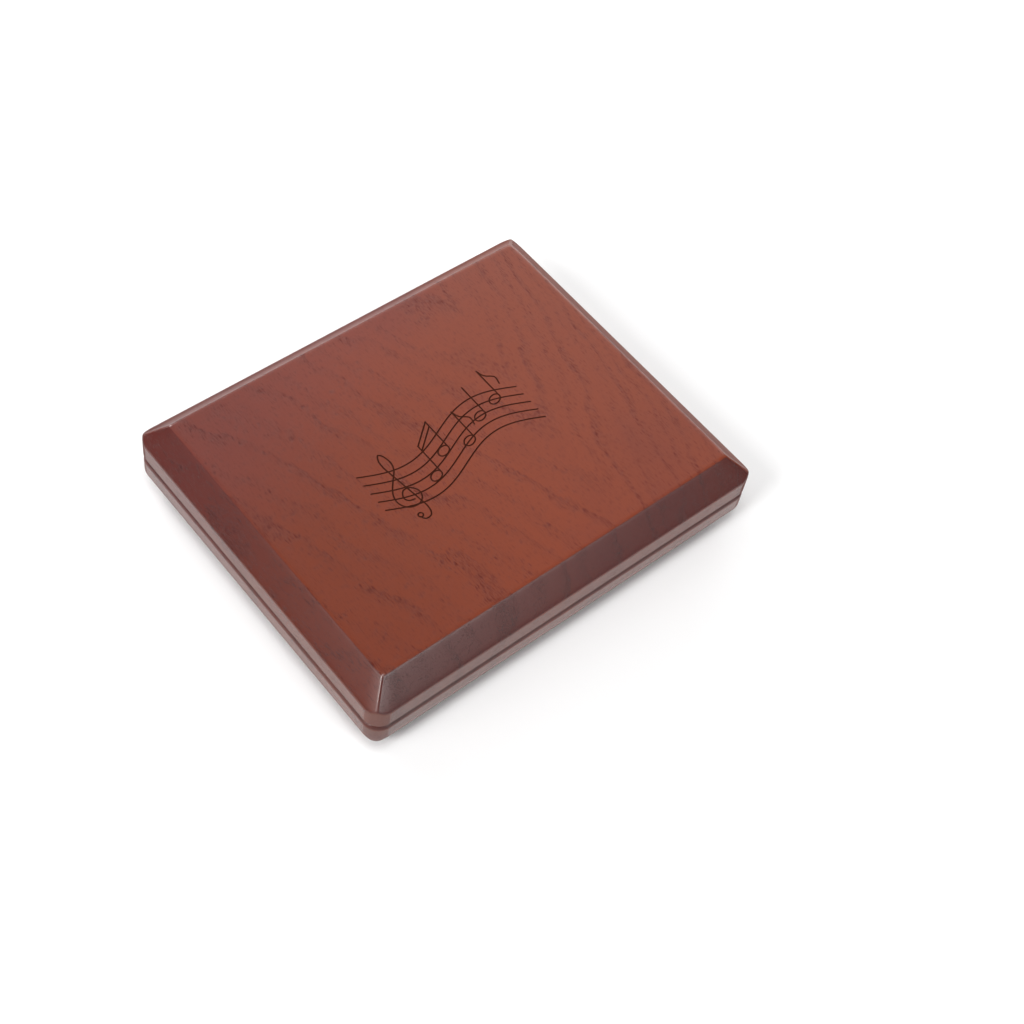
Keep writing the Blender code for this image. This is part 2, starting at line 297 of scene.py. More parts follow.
def crowded(count, power, both_ends=True):
    """Shares from 0 to 1 that crowd at the start, or at both ends."""
    shares = np.arange(count + 1) / count
    if not both_ends:
        return shares ** power
    near = 2 ** (power - 1) * shares ** power
    far = 1 - 2 ** (power - 1) * (1 - shares) ** power
    return np.where(shares < 1 / 2, near, far)


def plan_rays():
    """Foot, direction, reach to the wall, reach to the flat and wall normal of rays in plan."""
    inner_x = case_length / 2 - ray_square
    inner_y = case_depth / 2 - ray_square
    centre = ray_square - corner_radius
    offsets = math.pi / 4 * crowded(corner_samples, corner_crowding, both_ends=False)
    turns = np.concatenate([math.pi / 4 - offsets[::-1], math.pi / 4 + offsets[1:]])
    rays = []
    for quarter in range(4):
        spin = math.pi / 2 * quarter
        right = 1 if quarter in (0, 3) else -1
        behind = 1 if quarter in (0, 1) else -1
        foot = Vector((right * inner_x, behind * inner_y))
        for turn in turns:
            lean = max(math.cos(turn), math.sin(turn))
            reach = ray_square / lean
            normal = 0
            if min(math.cos(turn), math.sin(turn)) * reach > centre:
                along = centre * (math.cos(turn) + math.sin(turn))
                reach = along + math.sqrt(along ** 2 - 2 * centre ** 2 + corner_radius ** 2)
                high = reach * math.sin(turn) - centre
                normal = math.atan2(high, reach * math.cos(turn) - centre)
            elif turn > math.pi / 4:
                normal = math.pi / 2
            flat = (ray_square - bevel_width) / lean
            rays.append((foot, spin + turn, reach, flat, spin + normal))
        other = Vector((-foot.x, foot.y)) if quarter in (0, 2) else Vector((foot.x, -foot.y))
        facing = spin + math.pi / 2
        for i in range(1, side_samples):
            along_side = foot.lerp(other, i / side_samples)
            rays.append((along_side, facing, ray_square, ray_square - bevel_width, facing))
    return rays


def outside_rings(half):
    """Rings from the lip over the rim and the bevels to just inside the flat panel."""
    feet, turns, reach, flat, normals = zip(*plan_rays())
    count = len(feet)
    feet = np.array([[foot.x, foot.y] for foot in feet])
    along = np.array([[math.cos(turn), math.sin(turn)] for turn in turns])
    reach = np.array(reach)
    flat = np.array(flat)
    normal = np.array([[math.cos(turn), math.sin(turn)] for turn in normals])
    wall_points = feet + along * reach[:, None]
    inset = ray_square - np.max(np.abs(along), axis=1) * reach
    edge_depth = half_height - bevel_height + inset * bevel_height / bevel_width
    lip_end = visual_gap / 2 + lip_radius
    rings = []
    for share in np.arange(lip_samples) / lip_samples:
        turn = math.pi / 2 * share
        plan = wall_points - normal * lip_radius * (1 - math.sin(turn))
        depth = np.full(count, visual_gap / 2 + lip_radius * (1 - math.cos(turn)))
        rings.append(np.column_stack([plan, depth]))
    for share in crowded(wall_samples, crowding):
        depth = lip_end + (edge_depth - lip_end) * share
        rings.append(settle(np.column_stack([wall_points, depth]), half))
    for share in crowded(bevel_samples, crowding)[1:]:
        plan = feet + along * (reach + (flat - reach) * share)[:, None]
        depth = edge_depth + (half_height - edge_depth) * share
        rings.append(settle(np.column_stack([plan, depth]), half))
    for share in crowded(flat_samples, crowding, both_ends=False)[1:]:
        plan = feet + along * (flat - flat_margin * share)[:, None]
        rings.append(settle(np.column_stack([plan, np.full(count, half_height)]), half))
    rings[-1][:, 2] = half_height
    return rings


def place_rings(rings, half):
    """Rings with a half's depths turned into heights in the case's frame."""
    way = half_signs[half]
    return [[(x, y, half_height + way * depth) for x, y, depth in ring] for ring in rings]


def outline(corners, radii, inset=0, steps=6):
    """Anticlockwise outline with square turns, drawn in by an inset; each corner has its radius."""
    points = []
    for i, (here, radius) in enumerate(zip(corners, radii)):
        corner = Vector(here)
        arriving = (corner - Vector(corners[i - 1])).normalized()
        leaving = (Vector(corners[(i + 1) % len(corners)]) - corner).normalized()
        outward = arriving.x * leaving.y - arriving.y * leaving.x
        inward = Vector((-arriving.y - leaving.y, arriving.x + leaving.x))
        reach = max(radius - inset * outward, hair)
        centre = corner + inward * inset + (leaving - arriving) * reach
        for step in range(steps + 1):
            turn = math.pi / 2 * step / steps
            points.append(centre + (arriving * math.sin(turn) - leaving * math.cos(turn)) * reach)
    return points


def box_corners(left, front, right, back):
    """Anticlockwise corners of a level rectangle."""
    return [(left, front), (right, front), (right, back), (left, back)]


def centred(half_x, half_y):
    """Corners of a rectangle about the middle."""
    return box_corners(-half_x, -half_y, half_x, half_y)


def upright(corners, radii, profile, half, steps=6):
    """Closed body over an outline; the profile lists insets and depths from the parting plane."""
    rings = []
    for inset, depth in profile:
        rings.append([(x, y, depth) for x, y in outline(corners, radii, inset, steps)])
    return body(place_rings(rings, half))


def rounded_side(start, end, edge, steps=3):
    """Insets and depths of a body's side whose two edges are rounded."""
    way = 1 if end > start else -1
    turns = [math.pi / 2 * step / steps for step in range(steps + 1)]
    near = [(edge * (1 - math.sin(t)), start + way * edge * (1 - math.cos(t))) for t in turns]
    far = [(inset, end - way * abs(depth - start)) for inset, depth in reversed(near)]
    return near + far


def pocket_side(mouth, floor, edge, fillet, steps=4):
    """Insets and depths of a pocket with a rounded mouth and a filleted floor."""
    turns = [math.pi / 2 * step / steps for step in range(steps + 1)]
    profile = [(-edge, mouth - overrun)]
    profile += [(-edge * (1 - math.sin(t)), mouth + edge * (1 - math.cos(t))) for t in turns]
    return profile + [(fillet * (1 - math.cos(t)), floor - fillet * (1 - math.sin(t))) for t in turns]


def circle(radius, steps):
    """Points of a circle."""
    turns = [2 * math.pi * (step + 1 / 2) / steps for step in range(steps)]
    return [(radius * math.cos(turn), radius * math.sin(turn)) for turn in turns]


def turned(profile, steps):
    """Round closed body about Z; the profile lists radii and heights."""
    return body([[(x, y, height) for x, y in circle(radius, steps)] for radius, height in profile])


def rod(start, end, radius, edge):
    """Rings of a round body along the hinge's axis, with rounded ends."""
    rings = []
    for inset, x in rounded_side(start, end, edge):
        around = circle(radius - inset, fine_steps)
        rings.append([(x, hinge_axis.y + y, half_height + z) for y, z in around])
    return rings


def soften(piece, width, segments=2):
    """Round off the sharp edges of a metal piece."""
    bevel = piece.modifiers.new("soften", "BEVEL")
    bevel.width = width
    bevel.segments = segments
    bevel.limit_method = "ANGLE"
    bevel.angle_limit = math.radians(40)
    bevel.use_clamp_overlap = True
    apply_modifiers(piece)


def depth_range(node):
    """Least and greatest depth of a node from the parting plane."""
    low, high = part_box(node)
    return sorted((abs(low.z - half_height), abs(high.z - half_height)))


def middle_of(node):
    """Middle of a node's box."""
    low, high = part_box(node)
    return (low + high) / 2


def cut_round(piece, node, profile, half):
    """Cut a round hole at a node; the profile lists radii and depths from the parting plane."""
    middle = middle_of(node)
    rings = []
    for radius, depth in profile:
        around = circle(radius, fine_steps)
        rings.append([(middle.x + x, middle.y + y, depth) for x, y in around])
    cut(piece, body(place_rings(rings, half)))


def finish_piece(piece, half, slot, *nodes, angle=40):
    """Shade a piece, hang it on its half and let it stand for its nodes."""
    shade(piece, angle)
    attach(piece, half)
    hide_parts(*nodes)


def build_shell(half, wood, burnt):
    """Wooden half with sanded edges, cavity, seats for hinges and magnets, and the lid's engraving."""
    shell = link(f"{half}_shell_wood", body(place_rings(outside_rings(half), half)), wood, burnt)
    floor = depth_range(f"{half}_lining")[1] + seat_gap
    corners = centred(case_length / 2 - wall, case_depth / 2 - wall)
    side = pocket_side(visual_gap / 2, floor, mouth_round, seat_gap)
    cut(shell, upright(corners, [cavity_radius] * 4, side, half, steps=10))
    for end in end_signs:
        cut_hinge_seat(shell, half, end)
        cut_magnet_bore(shell, half, end)
    if half == "lid":
        cut(shell, engraving_mesh(), slot=1)
    finish_piece(shell, half, "stained_wood", f"{half}_shell")


def cut_hinge_seat(shell, half, end):
    """Mortise for a hinge leaf and round notch for its barrel."""
    low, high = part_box(f"hinge_{end}_{half}_leaf")
    front = low.y - seat_play
    corners = box_corners(low.x - seat_play, front, high.x + seat_play, hinge_axis.y + overrun)
    floor = leaf_thickness + depth_of_leaf() + hair
    side = pocket_side(visual_gap / 2, floor, knuckle_edge, hair, steps=3)
    cut(shell, upright(corners, [leaf_corner, leaf_corner, hair, hair], side, half))
    pin_low, pin_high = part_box(f"hinge_{end}_pin")
    reach = seat_play + hair
    cut(shell, body(rod(pin_low.x - reach, pin_high.x + reach, knuckle_radius + 2 * seat_play, hair)))


def depth_of_leaf():
    """Depth of a hinge leaf's face below the parting plane."""
    return depth_range("base_magnet_left")[0]


def cut_magnet_bore(shell, half, end):
    """Round seat of a magnet, with its mouth a little softened."""
    node = f"{half}_magnet_{end}"
    low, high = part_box(node)
    radius = (high.x - low.x) / 2 + magnet_play
    side = pocket_side(visual_gap / 2, depth_range(node)[1], magnet_play, hair, steps=3)
    profile = [(radius - inset, depth) for inset, depth in side]
    cut_round(shell, node, profile, half)


# Engraving: a flowing stave with a clef and a few notes, in stave spaces of the design

engraving_middle = (-0.001, -0.0015)
stave_space = 0.0029
stave_half_length = 8.6
stave_wave = 1.25
stave_steps = 24
line_width = 0.00040
line_depth = 0.00016

# Half widths of a groove above the lid, at its face and at the floor, as shares of the line's;
# each groove is a little deeper than the one before, so that no two floors lie level
groove_shares = (1.3, 1, 0.55)
grooves_in_hair = 20

clef_x = -6.1
clef_dot = (-0.42, -2.0)
clef_dot_radius = 0.22
note_places = ((-3.0, -0.5), (-0.9, 0.5), (1.6, -1.0), (4.0, 0.0), (6.2, 1.0))
note_half_width = 0.62
note_half_height = 0.42
note_tilt = 0.35
stem_side = 0.58
stem_foot = 0.22
stem_top = 3.3
beam_gap = 0.55
beamed_notes = slice(0, 2)
flagged_notes = (2, 4)
flag_path = ((0, 0), (0.25, -0.75), (0.95, -1.35), (0.85, -2.15))
clef_path = (
    (0.15, -0.45), (-0.35, -0.30), (-0.55, 0.15), (-0.15, 0.75), (0.50, 0.70), (0.95, 0.10),
    (0.80, -0.65), (0.10, -1.05), (-0.80, -0.80), (-1.25, 0.00), (-1.05, 0.95), (-0.30, 1.95),
    (0.45, 2.80), (0.75, 3.60), (0.62, 4.45), (0.30, 4.85), (-0.02, 4.30), (-0.08, 3.50),
)
clef_stem = (
    (-0.08, 3.50), (0.10, 2.20), (0.30, 0.80), (0.52, -0.80),
    (0.60, -1.75), (0.35, -2.45), (-0.25, -2.55), (-0.55, -2.15),
)


def curve_through(points, steps=8):
    """Smooth line through points."""
    line = []
    for i in range(len(points) - 1):
        around = [points[min(max(i + shift, 0), len(points) - 1)] for shift in (-1, 0, 1, 2)]
        before, start, end, after = [Vector(point) for point in around]
        for step in range(steps):
            t = step / steps
            bend = 2 * start + (end - before) * t
            bend += (2 * before - 5 * start + 4 * end - after) * t ** 2
            bend += (3 * start - before - 3 * end + after) * t ** 3
            line.append(bend / 2)
    return line + [Vector(points[-1])]


def stave_height(x):
    """How far the flowing stave is raised at a place along it."""
    return stave_wave * math.sin(x * math.pi / stave_half_length)


def design_strokes():
    """Lines of the design in stave spaces, each with a note of whether it is closed."""
    strokes = []
    samples = [stave_half_length * step / stave_steps for step in range(-stave_steps, stave_steps + 1)]
    for line in range(-2, 3):
        strokes.append(([Vector((x, line + stave_height(x))) for x in samples], False))
    clef = Vector((clef_x, stave_height(clef_x) - 1))
    for path in (clef_path, clef_stem):
        strokes.append(([clef + point for point in curve_through(path)], False))
    strokes.append((ellipse(clef + Vector(clef_dot), clef_dot_radius, clef_dot_radius, 0), True))
    heads = [Vector((x, line + stave_height(x))) for x, line in note_places]
    tops = [head + Vector((stem_side, stem_top)) for head in heads]
    for head in heads:
        strokes.append((ellipse(head, note_half_width, note_half_height, note_tilt), True))
    for head, top in zip(heads, tops):
        strokes.append(([head + Vector((stem_side, stem_foot)), top], False))
    for drop in (0, beam_gap):
        strokes.append(([top - Vector((0, drop)) for top in tops[beamed_notes]], False))
    for note in flagged_notes:
        strokes.append(([tops[note] + point for point in curve_through(flag_path)], False))
    return strokes


def ellipse(middle, half_width, half_tall, tilt, steps=24):
    """Points round a tilted ellipse."""
    points = []
    for step in range(steps):
        turn = 2 * math.pi * step / steps
        across = half_width * math.cos(turn)
        along = half_tall * math.sin(turn)
        x = across * math.cos(tilt) - along * math.sin(tilt)
        y = across * math.sin(tilt) + along * math.cos(tilt)
        points.append(middle + Vector((x, y)))
    return points


def groove_mesh(line, closed, depth):
    """Closed body of a groove with sloping sides along a line on the lid."""
    last = len(line) - 1
    rings = []
    for i, point in enumerate(line):
        before = line[i - 1] if i or closed else point
        after = line[(i + 1) % len(line)] if i < last or closed else point
        along = (after - before).normalized()
        side = Vector((-along.y, along.x)) * line_width / 2
        if not closed and i in (0, last):
            point = point + along * (line_width / 2 if i else -line_width / 2)
        rings.append(groove_section(point, side, depth))
    return body(rings, circular=closed)


def groove_section(point, side, depth):
    """Corners of a groove's section: wide above the lid, narrow at its floor."""
    top = 2 * half_height
    near = list(zip(groove_shares, (top + depth, top, top - depth)))
    corners = near + [(-share, height) for share, height in reversed(near)]
    return [(*(point + side * share), height) for share, height in corners]


def engraving_mesh():
    """All grooves of the design as one closed mesh."""
    whole = None
    for i, (line, closed) in enumerate(design_strokes()):
        placed = [Vector(engraving_middle) + point * stave_space for point in line]
        groove = groove_mesh(placed, closed, line_depth + hair * i / grooves_in_hair)
        if whole is None:
            whole = link("engraving", groove)
        else:
            combine(whole, groove, "UNION")
    mesh = whole.data
    bpy.data.objects.remove(whole)
    return mesh


# Inside pieces

def build_lining(half, paint):
    """Flocked tray whose soft lip wanders a little."""
    node = f"{half}_lining"
    low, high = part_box(node)
    top, bottom = depth_range(node)
    inner = lining_thickness
    turns = [math.pi * step / lining_steps for step in range(lining_steps + 1)]
    lip = [(inner / 2 * (1 - math.cos(t)), top + inner / 2 * (1 - math.sin(t))) for t in turns]
    fall = bottom - top - inner
    drops = [top + inner / 2 + fall * step / lining_steps for step in range(1, lining_steps)]
    profile = [(0, bottom)] + [(0, depth) for depth in reversed(drops)] + lip
    profile += [(inner, depth) for depth in drops] + [(inner + seat_gap, bottom - inner)]
    corners = centred((high.x - low.x) / 2, (high.y - low.y) / 2)
    rings = []
    for inset, depth in profile:
        ring = spread(outline(corners, [lining_radius] * 4, inset, steps=lining_steps))
        height = half_height + half_signs[half] * depth
        rings.append([soft_point(x, y, height, inset) for x, y in ring])
    lining = link(f"{half}_flocked_tray", body(rings), paint)
    finish_piece(lining, half, "flock", node, angle=60)


def spread(points):
    """An outline with its straight stretches divided."""
    divided = []
    for i, point in enumerate(points):
        after = points[(i + 1) % len(points)]
        length = (after - point).length
        count = long_steps if length > 10 * lining_pitch else max(1, round(length / lining_pitch))
        divided += [point.lerp(after, step / count) for step in range(count)]
    return divided


def soft_point(x, y, z, inset):
    """A point of the lining's wall, moved in or out a little along its length."""
    runs = zip((math.atan2(y, x), x + y, x - y), lining_waves)
    shift = lining_wobble * sum(math.sin(run * wave) for run, wave in runs) / 3
    reach = math.hypot(x, y)
    pull = shift / reach if inset else 0
    return (x * (1 + pull), y * (1 + pull), z + abs(pull) * reach / 2)


def comb_corners(board_x, board_y):
    """Corners of the finger bay and of the lanes that open into it."""
    end_x = board_x - shoulder_width
    lane = (2 * end_x - (lane_count - 1) * rib_width) / lane_count
    front = front_stop - board_y
    root = front + finger_bay
    tip = board_y - back_stop
    corners = [(-end_x, front), (end_x, front)]
    radii = [lane_corner, lane_corner]
    for i in reversed(range(lane_count)):
        left = i * (lane + rib_width) - end_x
        right = left + lane
        if i < lane_count - 1:
            corners.append((right, root))
            radii.append(rib_nose)
        corners += [(right, tip), (left, tip)]
        radii += [lane_corner, lane_corner]
        if i > 0:
            corners.append((left, root))
            radii.append(rib_nose)
    return corners, radii


def build_board(half, wood):
    """Reed board with rounded ribs, lanes and a finger bay."""
    node = f"{half}_reed_board"
    low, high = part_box(node)
    top, bottom = depth_range(node)
    board_x = (high.x - low.x) / 2
    board_y = (high.y - low.y) / 2
    side = rounded_side(top, bottom, board_edge)
    plate = upright(centred(board_x, board_y), [board_radius] * 4, side, half, steps=8)
    board = link(f"{half}_board_wood", plate, wood)
    corners, radii = comb_corners(board_x, board_y)
    pocket = upright(corners, radii, pocket_side(top, top + lane_depth, lane_edge, lane_fillet), half)
    cut(board, pocket)
    finish_piece(board, half, "board_wood", node)


def ribbon_section(half_width, half_thick):
    """Section of the ribbon: thicker cords along both edges, thin between them."""
    points = []
    turns = [math.pi * step / selvedge_steps for step in range(selvedge_steps + 1)]
    inner = half_width - selvedge
    for way in (1, -1):
        for turn in turns:
            y = way * (half_width - half_thick + half_thick * math.sin(turn))
            points.append((y, way * half_thick * math.cos(turn), 0))
        for share in flat_shares:
            points.append((way * inner * share, -way * (half_thick - selvedge_rise), 1))
    return points


def build_ribbon(half, woven):
    """Elastic ribbon with a corded edge and fine ribs across it."""
    node = f"{half}_ribbon"
    low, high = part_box(node)
    middle = middle_of(node)
    half_thick = (high.z - low.z) / 2
    section = ribbon_section((high.y - low.y) / 2 - scallop, half_thick - ribbon_rib_rise)
    count = round((high.x - low.x) / ribbon_rib * ribbon_rib_samples)
    rings = []
    for step in range(count + 1):
        x = low.x + (high.x - low.x) * step / count
        beat = 2 * math.pi * x / ribbon_rib
        ring = []
        for y, z, flat in section:
            edge = math.copysign(scallop * (1 - math.cos(beat)) / 2, y)
            rib = math.copysign(ribbon_rib_rise * flat * math.cos(beat), z)
            ring.append((x, middle.y + y + edge * (1 - flat), middle.z + z + rib))
        rings.append(ring)
    ribbon = link(f"{half}_woven_ribbon", body(rings), woven)
    finish_piece(ribbon, half, "satin_ribbon", node, angle=70)


def clip_section(node):
    """Corners and radii of a clip's section along its length, in Y and depth."""
    low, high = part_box(node)
    top, bottom = depth_range(node)
    middle = (low.y + high.y) / 2
    foot = (high.y - low.y) / 2
    rise = foot - clip_foot
    reach = rise - clip_thickness
    step = top + clip_thickness
    foot_top = bottom - clip_thickness
    inner = clip_bend
    outer = clip_bend + clip_thickness
    half_side = [
        (foot, foot_top, metal_edge),
        (foot, bottom, metal_edge),
        (reach, bottom, min(outer, (bottom - step) * clip_bend_share)),
        (reach, step, inner / 2),
    ]
    other = [
        (rise, top, min(outer, (foot_top - top) * clip_bend_share)),
        (rise, foot_top, inner / 2),
    ]
    around = half_side + [(-y, depth, radius) for y, depth, radius in reversed(half_side)]
    around += [(-y, depth, radius) for y, depth, radius in reversed(other)] + other
    return [(middle + y, depth) for y, depth, _ in around], [radius for *_, radius in around]


def build_clip(half, end, brass):
    """Bent brass clip with rounded corners and countersunk holes."""
    node = f"{half}_clip_{end}"
    low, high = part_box(node)
    corners, radii = clip_section(node)
    section = outline(corners, radii)
    rings = [[(x, y, depth) for y, depth in section] for x in (low.x, high.x)]
    clip = link(f"{node}_brass", body(place_rings(rings, half)), brass)
    top, bottom = depth_range(node)
    plan = box_corners(low.x, low.y, high.x, high.y)
    trim = upright(plan, [clip_corner] * 4, [(0, top - overrun), (0, bottom + overrun)], half)
    combine(clip, trim, "INTERSECT")
    for side in ("front", "rear"):
        cut_screw_hole(clip, f"{node}_screw_{side}", half)
    soften(clip, metal_edge)
    finish_piece(clip, half, "clip_brass", node)


def cut_screw_hole(piece, screw_node, half):
    """Countersunk hole for a screw, from its face through the sheet."""
    face = depth_range(screw_node)[0]
    play = 2 * metal_edge
    slope = (screw_head_radius - screw_shank_radius) / screw_head_height
    profile = [
        (screw_head_radius + play + slope * overrun, face - overrun),
        (screw_shank_radius + play, face + screw_head_height),
        (screw_shank_radius + play, face + overrun),
    ]
    cut_round(piece, screw_node, profile, half)


def screw_mesh(length, brass):
    """Slotted screw with a slightly domed countersunk head; its face is at height zero."""
    head = screw_head_radius
    profile = [(head * share, screw_dome * (1 - share ** 2)) for share in dome_shares]
    profile += [(head, -hair), (head, -2 * metal_edge), (screw_shank_radius, -screw_head_height)]
    profile += [(screw_shank_radius, screw_tip_length - length), (screw_shank_radius / 4, -length)]
    screw = link("screw", turned(profile, screw_steps))
    slot = centred(2 * head, slot_width / 2)
    cut(screw, body([[(x, y, height) for x, y in slot] for height in (-slot_depth, overrun)]))
    soften(screw, metal_edge / 3, 1)
    mesh = screw.data
    mesh.materials.clear()
    mesh.materials.append(brass)
    bpy.data.objects.remove(screw)
    return mesh


def build_screws(brass):
    """One slotted screw for each screw node, its slot left where the driver stopped."""
    nodes = sorted(node for node in frame["nodes"] if "_screw_" in node)
    meshes = {}
    for i, node in enumerate(nodes):
        face, tip = depth_range(node)
        length = round(tip - face, 5)
        if length not in meshes:
            meshes[length] = screw_mesh(length, brass)
        half = "base" if "base" in node else "lid"
        middle = middle_of(node)
        screw = link(f"{node}_slotted", meshes[length])
        height = half_height + half_signs[half] * face
        flip = Matrix.Rotation(math.pi if half == "lid" else 0, 4, "X")
        turn = Matrix.Rotation(math.radians(driver_turn * i % 180), 4, "Z")
        screw.matrix_world = Matrix.Translation((middle.x, middle.y, height)) @ flip @ turn
        finish_piece(screw, half, "screw_brass", node)


def build_leaf(half, end, brass):
    """Hinge leaf with rounded corners, countersunk holes and its share of the knuckles."""
    node = f"hinge_{end}_{half}_leaf"
    low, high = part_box(node)
    face = depth_of_leaf()
    back = low.y + leaf_width
    corners = box_corners(low.x, low.y, high.x, back)
    side = [(0, face), (0, face + leaf_thickness)]
    plate = upright(corners, [leaf_corner, leaf_corner, hair, hair], side, half)
    leaf = link(f"{node}_brass", plate, brass)
    for screw in end_signs:
        cut_screw_hole(leaf, f"hinge_{end}_{half}_screw_{screw}", half)
    soften(leaf, metal_edge)
    shape = bmesh.new()
    shape.from_mesh(leaf.data)
    add_knuckles(shape, half, end, back, face)
    shape.to_mesh(leaf.data)
    shape.free()
    finish_piece(leaf, half, "hinge_brass", node)


def add_knuckles(shape, half, end, back, face):
    """Knuckles of one leaf, each with the tongue that joins it to the plate."""
    low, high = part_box(f"hinge_{end}_base_leaf")
    gap = 2 * seat_play / 3
    middle = (low.x + high.x) / 2
    pitch = (high.x - low.x + seat_gap) / knuckle_count
    first = {"base": 0, "lid": 1}[half]
    for i in range(first, knuckle_count, 2):
        start = middle + (i - knuckle_count / 2) * pitch + gap / 2
        stop = start + pitch - gap
        bridge(shape, rod(start, stop, knuckle_radius, knuckle_edge))
        tongue = box_corners(start + hair, back - metal_edge, stop - hair, hinge_axis.y)
        depths = (face, face + leaf_thickness)
        bridge(shape, place_rings([[(x, y, depth) for x, y in tongue] for depth in depths], half))


def build_pin(end, brass):
    """Hinge pin with domed ends."""
    node = f"hinge_{end}_pin"
    low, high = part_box(node)
    radius = (high.z - low.z) / 2
    pin = link(f"{node}_brass", body(rod(low.x, high.x, radius, radius * pin_dome)), brass)
    finish_piece(pin, "base", "hinge_brass", node)


def build_magnet(half, end, nickel):
    """Plated disc magnet with a rounded rim."""
    node = f"{half}_magnet_{end}"
    low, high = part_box(node)
    half_thick = (high.z - low.z) / 2
    radius = (high.x - low.x) / 2
    side = rounded_side(-half_thick, half_thick, magnet_edge, steps=4)
    disc = turned([(radius - inset, height) for inset, height in side], magnet_steps)
    magnet = link(f"{node}_disc", disc, nickel)
    magnet.location = middle_of(node)
    finish_piece(magnet, half, "nickel", node)


# Materials

class Graph:
    """Short forms for the nodes of one material or world."""

    def __init__(self, owner, shader):
        owner.use_nodes = True
        self.owner = owner
        self.nodes = owner.node_tree.nodes
        self.shader = self.nodes[shader]

    def feed(self, socket, value):
        """Link a socket to another, or set its value."""
        if isinstance(value, bpy.types.NodeSocket):
            self.owner.node_tree.links.new(value, socket)
        else:
            socket.default_value = value

    def set(self, name, value):
        """Feed one input of the shader."""
        self.feed(self.shader.inputs[name], value)

    def node(self, kind, inputs):
        """A new node with some of its inputs fed."""
        node = self.nodes.new("ShaderNode" + kind)
        for name, value in inputs.items():
            self.feed(node.inputs[name], value)
        return node

    def coordinates(self, kind):
        """One kind of texture coordinates."""
        return self.node("TexCoord", {}).outputs[kind]

    def vector(self, operation, first, second):
        """Outputs of one step of vector arithmetic."""
        node = self.node("VectorMath", {0: first, 1: second})
        node.operation = operation
        return node.outputs

    def stretch(self, vector, scale):
        """A vector multiplied part by part."""
        return self.vector("MULTIPLY", vector, scale)["Vector"]

    def millimetres(self):
        """Place on the piece at rest, in millimetres."""
        return self.stretch(self.coordinates("Object"), (1000, 1000, 1000))

    def split(self, vector):
        """The three parts of a vector."""
        return self.node("SeparateXYZ", {0: vector}).outputs

    def calc(self, operation, *values, clamp=False):
        """One step of arithmetic."""
        node = self.node("Math", dict(enumerate(values)))
        node.operation = operation
        node.use_clamp = clamp
        return node.outputs[0]

    def times(self, first, second, clamp=False):
        """Two values multiplied."""
        return self.calc("MULTIPLY", first, second, clamp=clamp)

    def plus(self, first, second):
        """Two values added."""
        return self.calc("ADD", first, second)

    def less(self, first, second):
        """A value with another taken away."""
        return self.calc("SUBTRACT", first, second)

    def larger(self, first, second):
        """The larger of two values."""
        return self.calc("MAXIMUM", first, second)

    def times_plus(self, first, second, third):
        """Two values multiplied, and a third added."""
        return self.calc("MULTIPLY_ADD", first, second, third)

    def noise(self, vector, scale=1, detail=3, roughness=0.55):
        """Soft noise between 0 and 1."""
        inputs = {"Vector": vector, "Scale": scale, "Detail": detail, "Roughness": roughness}
        return self.node("TexNoise", inputs).outputs["Fac"]

    def remap(self, value, low, high, to_low=0, to_high=1):
        """A value carried smoothly from one range to another and clamped there."""
        ends = {"From Min": low, "From Max": high, "To Min": to_low, "To Max": to_high}
        node = self.node("MapRange", {"Value": value, **ends})
        node.interpolation_type = "SMOOTHSTEP"
        return node.outputs["Result"]

    def mix(self, share, first, second, blend="MIX"):
        """Two colours mixed."""
        node = self.node("Mix", {"Factor": share})
        node.data_type = "RGBA"
        node.blend_type = blend
        for name, value in (("A", first), ("B", second)):
            self.feed(next(s for s in node.inputs if s.name == name and s.type == "RGBA"), value)
        return next(s for s in node.outputs if s.type == "RGBA")

    def shade(self, colour, by, share):
        """A colour multiplied by another, as far as a share says."""
        return self.mix(share, colour, by, "MULTIPLY")

    def bump(self, height, distance, strength):
        """A bump from a height, over a distance in metres."""
        inputs = {"Height": height, "Distance": distance, "Strength": strength}
        return self.node("Bump", inputs).outputs["Normal"]


def start_material(name):
    """Graph of a new material."""
    return Graph(bpy.data.materials.new(name), "Principled BSDF")


# Grain of the outside wood; lengths in millimetres, scales in cells for each of them
heart_x = 24
heart_round = 6
grain_lean = 0.37
right_squeeze = 1.8
ring_pitch = 16.5
ring_start = 3.2
ring_wander = 24
ring_ripple = 9
wander_scale = (0.030, 0.018, 0.030)
ripple_scale = (0.16, 0.055, 0.16)
patch_scale = (0.12, 0.07, 0.12)
cloud_scale = (0.022, 0.014, 0.022)
pore_scale = (5.4, 0.50, 5.4)
fibre_scale = (2.6, 0.05, 2.6)
pore_crowding = 0.11
pore_limits = (0.600, 0.655)

# Colours of the outside wood, and the painted shade and painted sheen laid over it
wood_light = (0.196, 0.0368, 0.0140, 1)
wood_dark = (0.151, 0.0276, 0.0115, 1)
wood_pore = (0.076, 0.0050, 0.0015, 1)
wood_plum = (0.140, 0.0270, 0.0165, 1)
bevel_painted_shade = (0.61, 0.48, 0.50, 1)
front_painted_shade = (0.66, 0.68, 1.10, 1)
left_painted_shade = (0.79, 0.82, 0.92, 1)
rim_painted_shade = (0.80, 0.82, 0.70, 1)
back_painted_sheen = (0.96, 1.14, 1.95, 1)
low_painted_shade = (0.80, 0.82, 0.86, 1)

# Where painted shade, painted sheen and lacquer change, in millimetres: along X, along a slant to the
# back, down from the lid's top, and up from the parting plane
left_span = (-56, 12)
back_slant = -0.4
back_span = (6, 58)
low_bevel_span = (1.4, 4.8)
hip_foot_span = (3.0, 6.0)
groove_span = (1.2, 0.8)
base_span = (0.1, -0.1)

